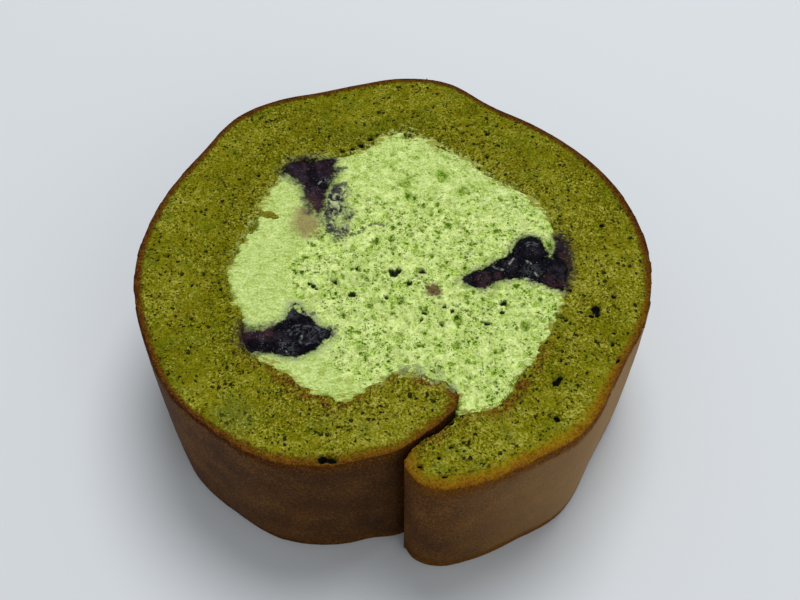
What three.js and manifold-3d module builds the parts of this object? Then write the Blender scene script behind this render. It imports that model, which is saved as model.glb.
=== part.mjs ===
// Swiss roll cake: one thick slice of a green tea roll, lying on one of its two cut faces.
// A sponge sheet is rolled one turn round whipped cream, with a few soft dark fruits between the two.
// Millimetres, +Z up, origin at the middle of the base, the roll's seam towards -Y.
// A bearing is an angle in degrees from the front (-Y), clockwise seen from above.

import * as THREE from 'three';
import { mergeVertices } from 'three/addons/utils/BufferGeometryUtils.js';
import Module from 'manifold-3d';

const wasm = await Module();
wasm.setup();

// ---------------------------------------------------------------- driving dimensions

const sliceThickness = 33;   // from one cut face to the other
const gap = 0.3;             // kept between pieces that touch
const crustRound = 0.5;      // radius of the crust's edge at both cuts
const crustDraw = 1.5;       // how far the crust draws in towards the lower cut
const seamStart = -8;        // bearing up to which the inner end of the sheet is tucked in
const seamReach = 16;        // degrees over which it comes out to the open side
const mouthBearing = 339.5;  // where the cream ends between the sheet's two ends

// The rolled sheet, from the tip tucked inside to the blunt outer end, which laps over it:
// bearing, radius of the side on the cream, radius of the crust.
const rolledSheet = [
  [-20.8, 30.6, 32.2],
  [-19.4, 28.9, 33.8],
  [-15, 27.0, 35.6],
  [-8, 25.0, 38.0],
  [-1, 25.0, 40.8],
  [6, 27.0, 42.6],
  [14, 31.0, 45.0],
  [27, 32.2, 47.6],
  [40, 31.2, 48.0],
  [53, 32.8, 48.7],
  [66, 30.6, 48.1],
  [87, 30.7, 48.3],
  [105, 28.5, 47.6],
  [125, 29.6, 47.4],
  [140, 32.7, 49.5],
  [150, 30.6, 48.9],
  [161, 28.3, 47.4],
  [171, 29.6, 47.7],
  [182, 33.4, 49.0],
  [193, 31.2, 48.9],
  [206, 29.6, 45.5],
  [222, 28.6, 45.6],
  [246, 31.2, 47.3],
  [267, 32.1, 48.1],
  [283, 32.2, 47.9],
  [301, 32.5, 46.9],
  [319, 34.1, 49.3],
  [331, 36.4, 48.7],
  [342, 35.5, 49.0],
  [350, 37.9, 48.8],
  [355, 39.8, 46.9],
  [357.4, 42.0, 44.0],
];
const stepsPerRow = 4;       // sheet facets between one row and the next

// Fruits seen on the cut, as outlines in plan (x, y). The side on the sponge is drawn past
// it here, and is cut back to it below.
const fruitOutlines = {
  fruit_left: [
    [-32, -12], [-26.4, -14.6], [-22.8, -15.1], [-20.0, -13.3], [-18.0, -9.6], [-15.8, -11.4],
    [-13.3, -14.6], [-10.8, -15.6], [-12.6, -18.8], [-17.2, -21.6], [-23.5, -20.6], [-28, -23],
  ],
  fruit_right: [
    [12.4, -4.0], [17.6, -0.7], [21.4, 1.9], [24.0, 5.9], [27.4, 6.0], [29.6, 1.7],
    [30.3, 3.6], [30.8, 6.2], [33.0, 7.8], [38, 6.0], [38, -9], [31.0, -7.0], [25.6, -4.4],
    [20.4, -4.2], [16.2, -6.2],
  ],
  fruit_back: [
    [-25, 25], [-19, 31], [-12.6, 29.5], [-11.6, 25.2], [-11.5, 22.0], [-11.9, 19.2],
    [-12.9, 16.2], [-13.0, 12.6], [-14.6, 11.2], [-16.6, 14.0], [-17.8, 17.8], [-20.2, 20.8],
    [-22.4, 22.2],
  ],
};
const fruitSteps = 36;       // facets round one fruit
const fruitRound = 0.5;      // rounding of a fruit's edge at the cuts

// ---------------------------------------------------------------- outlines

// The three numbers of a row run along one smooth curve from end to end of the sheet.
const sheetLine = new THREE.CatmullRomCurve3(
  rolledSheet.map((row) => new THREE.Vector3(...row)), false, 'centripetal');
const sheetSteps = (rolledSheet.length - 1) * stepsPerRow;

// Plan position at a bearing and a distance from the middle.
function plan(bearing, radius) {
  const angle = THREE.MathUtils.degToRad(bearing);
  return new THREE.Vector2(-radius * Math.sin(angle), -radius * Math.cos(angle));
}

// Moves each corner of a closed outline out along its normal, or in for a negative distance.
function offsetOutline(points, distance) {
  const turn = THREE.ShapeUtils.isClockWise(points) ? -1 : 1;
  return points.map((point, i) => {
    const before = points[(i + points.length - 1) % points.length];
    const after = points[(i + 1) % points.length];
    const along = after.clone().sub(before).normalize();
    return new THREE.Vector2(point.x + turn * distance * along.y,
      point.y - turn * distance * along.x);
  });
}

// The space inside the rolled sheet, closed across the mouth between its two ends.
function fillingOutline() {
  const inside = sheetLine.getPoints(sheetSteps)
    .filter((row) => row.x < mouthBearing)
    .map((row) => plan(row.x, row.y));
  return offsetOutline(inside, -gap);
}

function fruitOutline(name) {
  const corners = fruitOutlines[name].map(([x, y]) => new THREE.Vector3(x, y, 0));
  return new THREE.CatmullRomCurve3(corners, true, 'centripetal')
    .getPoints(fruitSteps).slice(0, -1)
    .map((corner) => new THREE.Vector2(corner.x, corner.y));
}

// ---------------------------------------------------------------- solids

// Keeps only places and faces, with corners at one place shared and collapsed faces dropped.
function weld(geometry) {
  geometry.deleteAttribute('normal');
  geometry.deleteAttribute('uv');
  const merged = mergeVertices(geometry, 1e-4);
  const index = Array.from(merged.index.array);
  const kept = [];
  for (let i = 0; i < index.length; i += 3) {
    const [a, b, c] = index.slice(i, i + 3);
    if (a !== b && b !== c && c !== a) kept.push(a, b, c);
  }
  merged.setIndex(kept);
  return merged;
}

function toSolid(geometry) {
  const welded = weld(geometry);
  return new wasm.Manifold(new wasm.Mesh({
    numProp: 3,
    vertProperties: new Float32Array(welded.attributes.position.array),
    triVerts: new Uint32Array(welded.index.array),
  }));
}

function toGeometry(solid) {
  const { vertProperties, triVerts } = solid.getMesh();
  const geometry = new THREE.BufferGeometry();
  geometry.setAttribute('position', new THREE.BufferAttribute(vertProperties, 3));
  geometry.setIndex(new THREE.BufferAttribute(triVerts, 1));
  geometry.computeVertexNormals();
  return geometry;
}

// A straight column on an outline, from the height low to the height high.
function column(outline, low, high, rounding = 0) {
  const geometry = new THREE.ExtrudeGeometry(new THREE.Shape(outline), {
    depth: high - low - 2 * rounding,
    steps: 1,
    bevelEnabled: rounding > 0,
    bevelThickness: rounding,
    bevelSize: rounding,
    bevelOffset: -rounding,
    bevelSegments: 1,
  });
  return toSolid(geometry.translate(0, 0, low + rounding));
}

// How far the crust lies inside its outline at a height: a quarter round at each cut, and a
// side that draws in slowly towards the base.
function crustInset(height) {
  const fromCut = Math.min(height, sliceThickness - height);
  const into = Math.max(crustRound - fromCut, 0);
  const round = crustRound - Math.sqrt(crustRound ** 2 - into ** 2);
  return round + crustDraw * (1 - height / sliceThickness) ** 2;
}

// A straight block (along, across, up) bent round the filling.
function makeSponge() {
  const edge = [0, 0.3 * crustRound, crustRound];
  const heights = [...edge, sliceThickness / 3, 2 * sliceThickness / 3,
    ...edge.map((height) => sliceThickness - height).reverse()];
  const levels = heights.length - 1;
  const block = new THREE.BoxGeometry(1, 1, 1, sheetSteps, 2, levels);
  const place = block.attributes.position;
  for (let i = 0; i < place.count; i += 1) {
    const row = sheetLine.getPoint(place.getX(i) + 0.5);
    const across = place.getY(i) + 0.5;
    const height = heights[Math.round((place.getZ(i) + 0.5) * levels)];
    const open = THREE.MathUtils.smoothstep(row.x, seamStart, seamStart + seamReach);
    const crust = row.z - crustInset(height) * open;
    const spot = plan(row.x, THREE.MathUtils.lerp(row.y, crust, across));
    place.setXYZ(i, spot.x, spot.y, height);
  }
  return toSolid(block);
}

const filling = column(fillingOutline(), 0, sliceThickness);

function makeFruit(name) {
  return column(fruitOutline(name), 0, sliceThickness, fruitRound).intersect(filling);
}

function makeCream() {
  return Object.keys(fruitOutlines).reduce((cream, name) => {
    const hollow = offsetOutline(fruitOutline(name), gap);
    return cream.subtract(column(hollow, -1, sliceThickness + 1));
  }, filling);
}

// ---------------------------------------------------------------- the cake

const finishes = {
  sponge: { color: 0x77701a, roughness: 0.9, metalness: 0 },
  cream: { color: 0xbfdc88, roughness: 0.7, metalness: 0 },
  fruit: { color: 0x241c29, roughness: 0.35, metalness: 0 },
};

function makeMesh(name, solid, finish) {
  const mesh = new THREE.Mesh(toGeometry(solid), new THREE.MeshStandardMaterial(finish));
  mesh.name = name;
  return mesh;
}

const cake = new THREE.Group();
cake.add(makeMesh('sponge', makeSponge(), finishes.sponge));
cake.add(makeMesh('cream', makeCream(), finishes.cream));
for (const name of Object.keys(fruitOutlines)) {
  cake.add(makeMesh(name, makeFruit(name), finishes.fruit));
}

// Stand it on its base, with the origin under the middle of its box.
const box = new THREE.Box3().setFromObject(cake);
const middle = box.getCenter(new THREE.Vector3());
cake.position.set(-middle.x, -middle.y, -box.min.z);

export default cake;
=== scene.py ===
import math

import bpy
import numpy as np
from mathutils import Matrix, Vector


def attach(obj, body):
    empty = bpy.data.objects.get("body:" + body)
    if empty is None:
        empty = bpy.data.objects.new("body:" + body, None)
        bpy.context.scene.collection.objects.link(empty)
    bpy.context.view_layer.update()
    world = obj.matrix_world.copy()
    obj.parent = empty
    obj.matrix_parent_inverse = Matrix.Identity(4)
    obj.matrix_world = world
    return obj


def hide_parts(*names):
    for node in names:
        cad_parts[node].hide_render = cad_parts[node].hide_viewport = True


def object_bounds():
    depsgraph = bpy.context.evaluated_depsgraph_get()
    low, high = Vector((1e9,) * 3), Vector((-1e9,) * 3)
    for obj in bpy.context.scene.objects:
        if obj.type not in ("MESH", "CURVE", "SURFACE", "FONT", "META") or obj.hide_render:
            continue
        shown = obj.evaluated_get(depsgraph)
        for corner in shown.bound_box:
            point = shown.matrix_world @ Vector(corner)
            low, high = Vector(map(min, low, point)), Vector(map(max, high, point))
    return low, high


# One thick slice of a green tea roll cake, lying on one of its two cut faces.
# Shapes are worked out in millimetres. A bearing is in degrees, clockwise from the front.

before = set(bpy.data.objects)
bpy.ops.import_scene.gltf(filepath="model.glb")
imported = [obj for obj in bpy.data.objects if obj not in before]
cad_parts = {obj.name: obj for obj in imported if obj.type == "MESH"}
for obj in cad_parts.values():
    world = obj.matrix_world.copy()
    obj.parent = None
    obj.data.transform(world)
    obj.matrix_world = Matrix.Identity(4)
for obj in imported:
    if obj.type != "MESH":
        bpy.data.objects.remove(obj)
cadLow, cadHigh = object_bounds()
mm = 0.001
thickness = cadHigh.z / mm          # from the base to the upper cut face
print("frame loaded, slice", round(thickness, 2), "mm thick")


# Numbers that vary over a surface

def smooth(low, high, value):
    # Smoothstep: 0 up to low, 1 from high, and 3t^2 - 2t^3 in between.
    t = np.clip((value - low) / (high - low), 0, 1)
    return t * t * (3 - 2 * t)


def draw(cells, seed):
    # A fixed draw from 0 to 1 for each whole-number cell, by mixing the bits of its numbers.
    key = cells.astype(np.int64) @ np.array([73856093, 19349663, 83492791]) + seed * 915488749
    key = ((key ^ (key >> 15)) * 2246822519) & 0xffffffff
    key = ((key ^ (key >> 13)) * 3266489917) & 0xffffffff
    return (key ^ (key >> 16)) / 0xffffffff


def grain(points, size, seed, octaves=2):
    # Lattice noise from -1 to 1: draws at the corners of cubes, joined by smoothstep weights.
    # Each further octave has half the size and half the weight.
    total, weight, full = 0, 1.0, 0
    for octave in range(octaves):
        scaled = points / size * 2 ** octave + 11.7 * octave
        cell = np.floor(scaled)
        t = smooth(0, 1, scaled - cell)
        value = 0
        for corner in np.ndindex(2, 2, 2):
            share = np.prod(np.where(corner, t, 1 - t), axis=-1)
            value = value + share * draw(cell + corner, seed + octave)
        total = total + weight * (2 * value - 1)
        full += weight
        weight /= 2
    return total / full


def pits(points, size, seed, smallest=0.12, largest=0.45):
    # Round pits, one in each cube, at a drawn place and with a drawn radius between two shares
    # of the cube: 1 - (distance / radius)^2 inside a pit, 0 outside.
    cell = np.floor(points / size)
    deepest = np.zeros(len(points))
    for step in np.ndindex(3, 3, 3):
        near = cell + np.array(step) - 1
        middle = np.stack([draw(near, seed + i) for i in range(3)], -1) + near
        radius = smallest + (largest - smallest) * draw(near, seed + 3) ** 2
        away = np.linalg.norm(points / size - middle, axis=-1) / radius
        deepest = np.maximum(deepest, 1 - away ** 2)
    return deepest


def spots(points, marks, seed, ragged=0.5):
    # Listed round marks (x, y, radius): the largest of 1 - (distance / radius)^2, with
    # the distance made uneven by noise.
    uneven = 1 + ragged * grain(points, 1.3, 900 + seed)
    flat = inPlan(points)
    value = np.zeros(len(points))
    for x, y, radius in marks:
        away = np.hypot(flat[:, 0] - x, flat[:, 1] - y) * uneven / radius
        value = np.maximum(value, 1 - away ** 2)
    return value


def inPlan(points):
    # Points seen from above, from the point that all placed marks start from.
    return points[:, :2] - markOrigin


def turns(count, whole=2 * np.pi):
    # Evenly spaced numbers from 0 up to the whole, without the whole itself.
    return np.linspace(0, whole, count, endpoint=False)


def rays(angles):
    # Unit vectors in plan along angles.
    return np.stack([np.cos(angles), np.sin(angles)], -1)


def fromStretch(flat, start, end):
    # Distance in plan from the nearest point of a straight stretch.
    run = end - start
    t = np.clip((flat - start) @ run / (run @ run), 0, 1)
    return np.linalg.norm(flat - start - t[:, None] * run, axis=1)


def streaks(points, lines, width):
    # Listed narrow lines, each a row of corners (x, y): 1 - (distance / width)^2.
    flat = inPlan(points)
    value = np.zeros(len(points))
    for line in lines:
        for start, end in zip(np.array(line[:-1], float), np.array(line[1:], float)):
            value = np.maximum(value, 1 - (fromStretch(flat, start, end) / width) ** 2)
    return value


def reachTo(middle, angles, outline):
    # Distance from a point to a closed outline along each angle: the nearest crossing of the
    # ray with the outline's straight stretches.
    ray = rays(angles)[:, None]
    start = (outline - middle)[None]
    run = np.roll(outline, -1, 0)[None] - outline[None]
    cross = ray[..., 0] * run[..., 1] - ray[..., 1] * run[..., 0]
    cross = np.where(np.abs(cross) < 1e-9, 1e-9, cross)
    away = (start[..., 0] * run[..., 1] - start[..., 1] * run[..., 0]) / cross
    share = (start[..., 0] * ray[..., 1] - start[..., 1] * ray[..., 0]) / cross
    hit = (share >= 0) & (share <= 1) & (away > 0)
    return np.where(hit, away, 1e3).min(1)


def within(points, outline):
    # How far points lie inside a closed outline: the distance to its nearest straight stretch,
    # less than zero where a ray along x crosses the outline an even number of times.
    outline = np.array(outline, float)
    flat = inPlan(points)
    nearest = np.full(len(flat), 9.0)
    odd = np.zeros(len(flat), bool)
    for start, end in zip(outline, np.roll(outline, -1, 0)):
        nearest = np.minimum(nearest, fromStretch(flat, start, end))
        crosses = (start[1] > flat[:, 1]) != (end[1] > flat[:, 1])
        slope = (end[0] - start[0]) / ((end[1] - start[1]) or 1e-9)
        odd ^= crosses & (flat[:, 0] < start[0] + slope * (flat[:, 1] - start[1]))
    return np.where(odd, nearest, -nearest)


def curveThrough(corners, along, closed=False):
    # Centripetal Catmull-Rom curve through the corners, read at shares of its spans: a cubic
    # on each span, with tangents from the neighbouring spans' square-root lengths.
    corners = np.asarray(corners, float)
    if closed:
        held = np.vstack([corners[-1:], corners, corners[:2]])
    else:
        held = np.vstack([2 * corners[0] - corners[1], corners, 2 * corners[-1] - corners[-2]])
    spans = len(held) - 3
    place = np.asarray(along, float) * spans
    k = np.clip(place.astype(int), 0, spans - 1)
    t = (place - k)[:, None]
    p0, p1, p2, p3 = (held[k + i] for i in range(4))
    a, b, c = (np.maximum(((q - p) ** 2).sum(1) ** 0.25, 1e-4)[:, None]
        for p, q in ((p0, p1), (p1, p2), (p2, p3)))
    leave = ((p1 - p0) / a - (p2 - p0) / (a + b) + (p2 - p1) / b) * b
    reach = ((p2 - p1) / b - (p3 - p1) / (b + c) + (p3 - p2) / c) * b
    squared = 3 * (p2 - p1) - 2 * leave - reach
    cubed = 2 * (p1 - p2) + leave + reach
    return p1 + leave * t + squared * t ** 2 + cubed * t ** 3


def gridFaces(rows, columns, closed=True, first=0):
    # Quads between neighbours of a grid whose points are numbered row by row; closed rows
    # join at their ends.
    r = np.arange(rows - 1)[:, None] * columns + first
    c = np.arange(columns if closed else columns - 1)
    c2 = (c + 1) % columns
    return np.stack([r + c, r + c2, r + columns + c2, r + columns + c], -1).reshape(-1, 4)


def fanFaces(ring, middle):
    # Triangles from a closed ring of points to one point.
    return np.stack([ring, np.roll(ring, -1), np.full(len(ring), middle)], -1)


def addObject(name, data):
    # An object that holds a mesh, a light or a camera.
    thing = bpy.data.objects.new(name, data)
    bpy.context.scene.collection.objects.link(thing)
    return thing


def addMarks(mesh, marks):
    # One number a point under each name, for the finishes, and smooth shading.
    for key, values in marks.items():
        mesh.attributes.new(key, "FLOAT", "POINT").data.foreach_set("value", np.asarray(values, np.float32))
    mesh.polygons.foreach_set("use_smooth", np.ones(len(mesh.polygons), bool))
    mesh.update()


def makePiece(name, points, faces, finish, standsFor, marks):
    # A mesh object at the origin from points in millimetres and lists of faces, turned
    # outwards by the sign of the volume that they close.
    mesh = bpy.data.meshes.new(name)
    split = [f[:, [0, i, i + 1]] for f in faces for i in range(1, f.shape[1] - 1)]
    a, b, c = (points[np.concatenate(split)[:, i]] for i in range(3))
    if (np.cross(a, b) * c).sum() < 0:
        faces = [f[:, ::-1] for f in faces]
    mesh.from_pydata((points * mm).tolist(), [], [face for f in faces for face in f.tolist()])
    mesh.materials.append(finish)
    addMarks(mesh, marks)
    piece = addObject(name, mesh)
    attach(piece, "root")
    for node in standsFor:
        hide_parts(node)
    print("made", name, "with", sum(len(s) for s in split), "triangles")
    return piece


# Finishes

def shade(red, green, blue):
    # The linear colour of an sRGB one given from 0 to 255.
    parts = (c / 255 for c in (red, green, blue))
    return tuple(c / 12.92 if c < 0.04 else ((c + 0.055) / 1.055) ** 2.4 for c in parts) + (1,)


def operator(operation, turned=False):
    # A method that joins two values by a Math node, in the other order where it is turned.
    def join(self, other=0):
        first, second = (other, self) if turned else (self, other)
        return self.finish.add("Math", {"operation": operation}, {0: first, 1: second})
    return join


class Wire:
    # A value on its way through a finish; sums and products of wires add Math nodes.
    def __init__(self, finish, socket):
        self.finish, self.socket = finish, socket

    __add__, __radd__ = operator("ADD"), operator("ADD", True)
    __sub__, __rsub__ = operator("SUBTRACT"), operator("SUBTRACT", True)
    __mul__, __rmul__ = operator("MULTIPLY"), operator("MULTIPLY", True)
    __truediv__, __pow__ = operator("DIVIDE"), operator("POWER")
    __abs__, __or__ = operator("ABSOLUTE"), operator("MAXIMUM")

    def step(self, low, high):
        # 0 up to low and 1 from high, or the other way round where low is the larger.
        return self.finish.add("MapRange", {"interpolation_type": "SMOOTHSTEP"},
            {"Value": self, "From Min": min(low, high), "From Max": max(low, high),
            "To Min": float(low > high), "To Max": float(low < high)})


class Finish:
    # A material with its constants on the shader. add() makes any node, from its type, its
    # settings and the values or links of its sockets.
    def __init__(self, name, constants):
        self.material = bpy.data.materials.new(name)
        self.material.use_nodes = True
        self.tree = self.material.node_tree
        self.shader = self.tree.nodes["Principled BSDF"]
        for key, value in constants.items():
            self.shader.inputs[key].default_value = value
        metres = self.add("TexCoord", output="Object")
        self.place = self.add("VectorMath", {"operation": "SCALE"}, {0: metres, "Scale": 1 / mm})

    def add(self, kind, settings=(), sockets=(), output=0):
        node = self.tree.nodes.new("ShaderNode" + kind)
        for key, value in dict(settings).items():
            if key == "stops":
                self.setStops(node.color_ramp, value)
            else:
                setattr(node, key, value)
        for key, value in dict(sockets).items():
            if isinstance(value, Wire):
                self.tree.links.new(value.socket, node.inputs[key])
            else:
                node.inputs[key].default_value = value
        return Wire(self, node.outputs[output])

    def setStops(self, ramp, stops):
        while len(ramp.elements) < len(stops):
            ramp.elements.new(0.5)
        for element, (place, *colour) in zip(ramp.elements, stops):
            element.position, element.color = place, shade(*colour)

    def noise(self, size, detail=2, roughness=0.5, at=None, warp=0, output="Fac"):
        return self.add("TexNoise", {}, {"Vector": at or self.place, "Scale": 1 / size, "Detail": detail,
            "Roughness": roughness, "Distortion": warp}, output)

    def wander(self, amount, *noise):
        # Noise round 0, times an amount.
        return (self.noise(*noise) - 0.5) * amount

    def stirred(self, size, amount):
        # The place, moved by noise of that size, by up to about that amount.
        push = self.noise(size, 1, output="Color")
        centred = self.add("VectorMath", {"operation": "SUBTRACT"}, {0: push, 1: (0.5, 0.5, 0.5)})
        moved = self.add("VectorMath", {"operation": "SCALE"}, {0: centred, "Scale": 2 * amount})
        return self.add("VectorMath", {"operation": "ADD"}, {0: self.place, 1: moved})

    def pores(self, size, smallest, largest, at=None):
        # Round pores, one to a cell, of drawn radii in shares of it: 1 - distance / radius.
        cell = {"Vector": at or self.place, "Scale": 1 / size}
        away = self.add("TexVoronoi", {}, cell, "Distance")
        drawn = self.add("SeparateColor", {}, {0: self.add("TexVoronoi", {}, cell, "Color")})
        return 1 - away / (drawn ** 2 * (largest - smallest) + smallest)

    def mark(self, name):
        return self.add("Attribute", {"attribute_name": name}, output="Fac")

    def ramp(self, value, stops):
        # A colour that follows a value, from stops (place, red, green, blue).
        return self.add("ValToRGB", {"stops": stops}, {0: value}, "Color")

    def mix(self, mask, first, second):
        # The first colour where the mask is 0, the second where it is 1.
        first, second = (c if isinstance(c, Wire) else shade(*c) for c in (first, second))
        return self.add("Mix", {"data_type": "RGBA"}, {0: mask, 6: first, 7: second}, 2)

    def coat(self, mask, colour):
        # Lays a colour over the finish's own, where the mask says.
        self.colour = self.mix(mask, self.colour, colour)

    def edged(self, inside, soft):
        # The share of fruit at a distance inside its outline, blurred unevenly: the distance
        # and noise, over a width that is larger where the fruit is soft.
        uneven = self.wander(1 + soft * 4, 1.5, 3, 0.6) + self.wander(1.2 + soft, 0.5, 3, 0.65)
        return ((inside + uneven + soft * 0.4) / (soft * 1.1 + 0.3)).step(-1, 1)

    def flushed(self, soft):
        # Nearly black skin, or purple flesh where it is soft.
        patches = self.noise(1.4, 3, 0.6)
        skin = self.ramp(patches, [(0.3, 0, 0, 4), (0.55, 6, 5, 12), (0.75, 26, 20, 32)])
        flesh = self.ramp(patches, [(0.3, 11, 5, 13), (0.5, 29, 17, 27), (0.7, 58, 39, 48)])
        return self.mix(soft, skin, flesh)

    def lace(self, share):
        # A coat of torn threads round dark gaps, fading here and there.
        curls = self.noise(1.6, 3, 0.64, warp=1)
        threads = self.ramp(curls, [(0.39, 22, 20, 24), (0.46, 88, 88, 74), (0.53, 144, 154, 110),
            (0.63, 190, 204, 148)])
        threads = self.mix(self.noise(2).step(0.54, 0.64) * 0.8, threads, (26, 22, 28))
        self.coat(share * (self.noise(2.8).step(0.36, 0.52) * 0.6 + 0.4), threads)

    def done(self, roughness, height):
        # Colour, roughness and relief, a height in millimetres, reach the shader.
        bump = self.add("Bump", {}, {"Strength": 1, "Distance": mm, "Height": height}, "Normal")
        for key, wire in (("Base Color", self.colour), ("Roughness", roughness), ("Normal", bump)):
            self.tree.links.new(wire.socket, self.shader.inputs[key])
        return self.material


# The rolled sheet of sponge

spongeSettings = {
    # Bearing, radius on the cream, radius of the crust
    "rows": [[-20.8, 30.6, 32.2], [-19.4, 28.9, 33.8], [-15, 27, 35.6], [-8, 25, 38], [-1, 25, 40.8],
        [6, 27, 42.6], [14, 31, 45], [27, 32.2, 47.6], [40, 31.2, 48], [53, 32.8, 48.7], [66, 30.6, 48.1],
        [87, 30.7, 48.3], [105, 28.5, 47.6], [125, 29.6, 47.4], [140, 32.7, 49.5], [150, 30.6, 48.9],
        [161, 28.3, 47.4], [171, 29.6, 47.7], [182, 33.4, 49], [193, 31.2, 48.9], [206, 29.6, 45.5],
        [222, 28.6, 45.6], [246, 31.2, 47.3], [267, 32.1, 48.1], [283, 32.2, 47.9], [301, 32.5, 46.9],
        [319, 34.1, 49.3], [331, 36.4, 48.7], [342, 35.5, 49], [350, 37.9, 48.8], [355, 39.8, 46.9],
        [357.4, 42, 44]],
    "facetsPerRow": 4,        # of the plain solid, whose box is centred
    "samples": 4001,          # of the sheet's curve, for what is read off between its rows
    "lengthSamples": 6001,    # and for its length
    "columns": 650,           # along the sheet
    "topRows": 84,            # across the upper cut face
    "sideRows": 20,
    "baseRows": 30,
    "innerRows": 6,
    "edgeRows": 6,            # round each edge of the crust
    "edgeRadius": 0.5,
    "inset": 0.15,            # kept inside the plain solid
    "draw": 1.5,              # how far the crust draws in towards the base
    "tuckedRound": 0.45,      # share of the edge's rounding that the tucked-in end keeps
    "seam": (-8, 8),          # bearings between which the crust comes out to the open side
    "apron": 1.2,             # how far the sponge reaches in under the cream's ragged edge
    "apronFall": 1.5,         # and how far it falls there
    "apronTeeth": 0.8,        # how far the start of that fall wanders
    "apronEnds": [(-20, -16), (341, 338)],       # bearings over which it grows and shrinks
    "thin": 3,                # width of the sheet below which its crust draws in less
    "level": (0.45, 0.8),     # upright share of the normal, from the crust to the cut
    "swell": 0.3,             # depth of the slow unevenness of the cut
    "crumb": 0.24,            # depth of the crumb
    "pitDepth": 0.6,
    "poreDepth": 1.4,
    "tearDepth": 0.12,
    "least": 0.06,            # depth of the cut everywhere
    "share": 0.3,             # of the sheet's width, that no depth exceeds
    "crust": (0.05, 0.04, 0.05),  # depth of the crust: all over, in slow and in quick bumps
    "flake": 0.32,            # thickness of the crust's loose flakes along its upper edge
    # Larger pores (x, y, radius)
    "pores": [(36.7, -11, 0.9), (28.2, -26.9, 0.75), (-11.6, -42, 0.9), (-10.2, -42.3, 0.9),
        (29.1, -26, 0.6), (37, -12.4, 0.5), (39.7, 8.8, 0.55), (31.9, 9.3, 0.4), (18.8, 32.8, 0.55),
        (18.5, 26.5, 0.5), (-26.7, 21.4, 0.6), (40.3, -8, 0.5), (27.9, -34.1, 0.6), (35.8, -12.6, 0.5),
        (-42.2, 1.3, 0.4), (-44.1, 0.1, 0.35), (-42.9, -8, 0.4), (-37.1, -5.7, 0.4), (-33, 2.1, 0.35),
        (-35.1, -3, 0.4), (-32.2, -5.1, 0.35), (-31.7, -6.6, 0.35), (31.1, -13.5, 0.4), (39.4, -16.5, 0.4),
        (39, -18.9, 0.35), (39.6, -22.3, 0.4), (29.5, -22.3, 0.4), (30.3, -23.1, 0.35), (29.5, -17.3, 0.35),
        (9.8, -39.7, 0.35), (12.6, -39.3, 0.35), (4.5, -43.4, 0.4), (7.7, -41.7, 0.4), (8.6, -45.3, 0.35),
        (9.7, -34.6, 0.9), (10.5, -33.6, 0.7), (8.9, -35.6, 0.6), (-10.3, 27.9, 0.5), (-8.3, 28.6, 0.6),
        (-6.6, 29.7, 0.7), (-4.8, 31.2, 0.6), (-3.4, 32.4, 0.5)],
    # Narrow tears, each a row of corners: the crumb is open along them
    "tears": [[(30.7, -12.9), (31.7, -14.4), (32.5, -16.3)], [(34.5, -19.6), (35.9, -22)],
        [(12.9, -38.8), (13.1, -40.6), (15, -43.2)], [(18.6, -36.7), (19.4, -38.8)],
        [(-34.8, 29.2), (-32.7, 27.8), (-30.6, 26.5)],
        [(-20.9, -33.2), (-18.2, -35.5), (-15.6, -36.7), (-10.6, -37.1), (-5.5, -36.7)],
        [(-5.5, -36.7), (-2.2, -35.7), (1.2, -33.4)]],
    "tearWidth": 0.8,
    # Where cream is smeared over it (x, y, radius)
    "smears": [(2.1, -24, 1.6), (4.7, -24.4, 2), (7.8, -25.4, 2.3), (10.4, -27.6, 1.8)],
    # Outlines where the fruits have stained it, and where it is moist
    "stains": [
        [(28, 5.4), (30.9, 6.6), (32, 7.3), (33.1, 5.6), (33.9, 2.7), (33.9, -0.7), (33.5, -3.9),
            (32.6, -6.3), (31.7, -7.6), (29, -7.2), (25, -1)],
        [(-22.9, 22.6), (-20.6, 26), (-17.5, 27.1), (-14.7, 26.8), (-11.6, 25.4), (-11, 22), (-16, 17)],
        [(-28, -13.6), (-28.2, -16.5), (-27.6, -19.6), (-25, -21), (-21, -16)]],
    "moist": [(-31, -31.5), (-27.6, -29.4), (-24.2, -30.6), (-22.6, -34.6), (-24.4, -38.6), (-28.4, -37.4),
        (-31.4, -34.6)],
}

sheetRows = np.array(spongeSettings["rows"], float)


def polarPlan(bearing, radius):
    # x and y of a bearing and a distance from the roll's middle: -r sin b and -r cos b.
    angle = np.radians(bearing)
    return np.stack([-radius * np.sin(angle), -radius * np.cos(angle)], -1)


def boxMiddle():
    # Middle of the plain solid's box, from the corners of its facets.
    steps = (len(sheetRows) - 1) * spongeSettings["facetsPerRow"]
    coarse = curveThrough(sheetRows, np.linspace(0, 1, steps + 1))
    corners = np.vstack([polarPlan(coarse[:, 0], coarse[:, i]) for i in (1, 2)])
    return (corners.min(0) + corners.max(0)) / 2


rollMiddle = -boxMiddle()           # where the roll's middle lies in the part's frame
markOrigin = rollMiddle + [-0.02, 0.16]
sheetFine = curveThrough(sheetRows, np.linspace(0, 1, spongeSettings["samples"]))


def sheetColumns(count):
    # Shares of the sheet's spans at which its columns are evenly spaced along the sheet.
    fine = np.linspace(0, 1, spongeSettings["lengthSamples"])
    rows = curveThrough(sheetRows, fine)
    line = polarPlan(rows[:, 0], 0.4 * rows[:, 1] + 0.6 * rows[:, 2])
    length = np.concatenate([[0], np.cumsum(np.linalg.norm(np.diff(line, axis=0), axis=1))])
    return np.interp(np.linspace(0, length[-1], count), length, fine), length[-1]


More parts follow.
